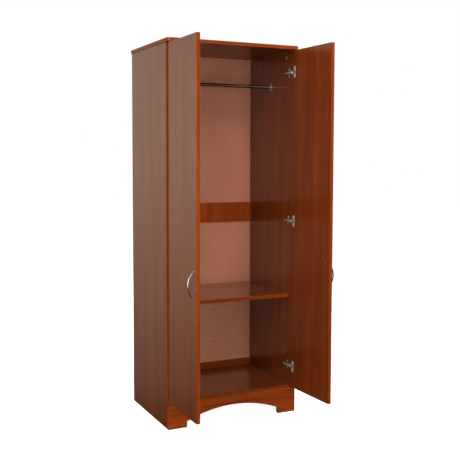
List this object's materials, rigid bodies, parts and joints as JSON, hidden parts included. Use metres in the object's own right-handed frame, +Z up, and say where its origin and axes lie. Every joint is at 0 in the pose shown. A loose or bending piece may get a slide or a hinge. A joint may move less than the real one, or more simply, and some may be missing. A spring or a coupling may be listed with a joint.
{
  "type": "armoire",
  "caption": "Free-standing cabinet with hinged doors shown open, hanging rod, fixed shelf, arched front apron and bow handles, in reddish wood-grain laminate.",
  "frame": {"origin": "on the floor, midway between the two side panels and at the centre of the outline's depth with the doors open", "axes": "+Z up, front and doors towards -Y, +X to the right as seen from the front"},
  "size_m": [0.8059, 0.9028, 1.98],
  "materials": {
    "cherry_laminate": "satin cherry-grain melamine laminate",
    "cherry_edge": "satin orange-brown edge banding",
    "back_sheet": "plain painted hardboard, low sheen",
    "chrome": "polished chrome plate",
    "nickel_steel": "nickel-plated pressed steel",
    "zinc": "die-cast zinc",
    "zinc_screws": "zinc-plated steel",
    "beech": "raw beech",
    "brown_plastic": "moulded brown plastic"
  },
  "bodies": {
    "carcass": {"apron_block_screws": "zinc_screws", "apron_blocks": "brown_plastic", "apron_edge_band": "cherry_edge", "bottom_back_rail": "cherry_laminate", "bottom_panel": "cherry_laminate", "bottom_panel_edge_band": "cherry_edge", "cam_cover_caps": "brown_plastic", "cam_dowels": "zinc_screws", "cam_locks": "zinc", "fixed_shelf": "cherry_laminate", "front_apron": "cherry_laminate", "hanging_rod": "chrome", "left_hinge_arm_screws": "zinc_screws", "left_hinge_arms": "nickel_steel", "left_hinge_plate_screws": "zinc_screws", "left_hinge_plates": "nickel_steel", "left_side_edge_band": "cherry_edge", "left_side_panel": "cherry_laminate", "lower_back_panel": "back_sheet", "mid_back_rail": "cherry_laminate", "right_hinge_arm_screws": "zinc_screws", "right_hinge_arms": "nickel_steel", "right_hinge_plate_screws": "zinc_screws", "right_hinge_plates": "nickel_steel", "right_side_edge_band": "cherry_edge", "right_side_panel": "cherry_laminate", "rod_socket_screws": "zinc_screws", "rod_sockets": "chrome", "sheet_hole_plugs": "brown_plastic", "shelf_edge_band": "cherry_edge", "top_edge_band": "cherry_edge", "top_panel": "cherry_laminate", "upper_back_panel": "back_sheet", "wood_dowels": "beech"},
    "left_door": {"left_door": "cherry_laminate", "left_door_edge_band": "cherry_edge", "left_handle": "chrome", "left_handle_screws": "zinc_screws", "left_hinge_cups": "nickel_steel", "left_cup_screws": "zinc_screws", "left_hinge_pins": "nickel_steel"},
    "right_door": {"right_door": "cherry_laminate", "right_door_edge_band": "cherry_edge", "right_handle": "chrome", "right_handle_screws": "zinc_screws", "right_hinge_cups": "nickel_steel", "right_cup_screws": "zinc_screws", "right_hinge_pins": "nickel_steel"}
  },
  "joints": [
    {"name": "left_door_hinge", "type": "hinge", "parent": "carcass", "child": "left_door", "pos_m": [-0.35705, -0.0971, 1.048], "axis": [0, 0, -1], "range_deg": [-90, 5]},
    {"name": "right_door_hinge", "type": "hinge", "parent": "carcass", "child": "right_door", "pos_m": [0.35705, -0.0971, 1.048], "axis": [0, 0, 1], "range_deg": [-92.7, 2.3]}
  ]
}
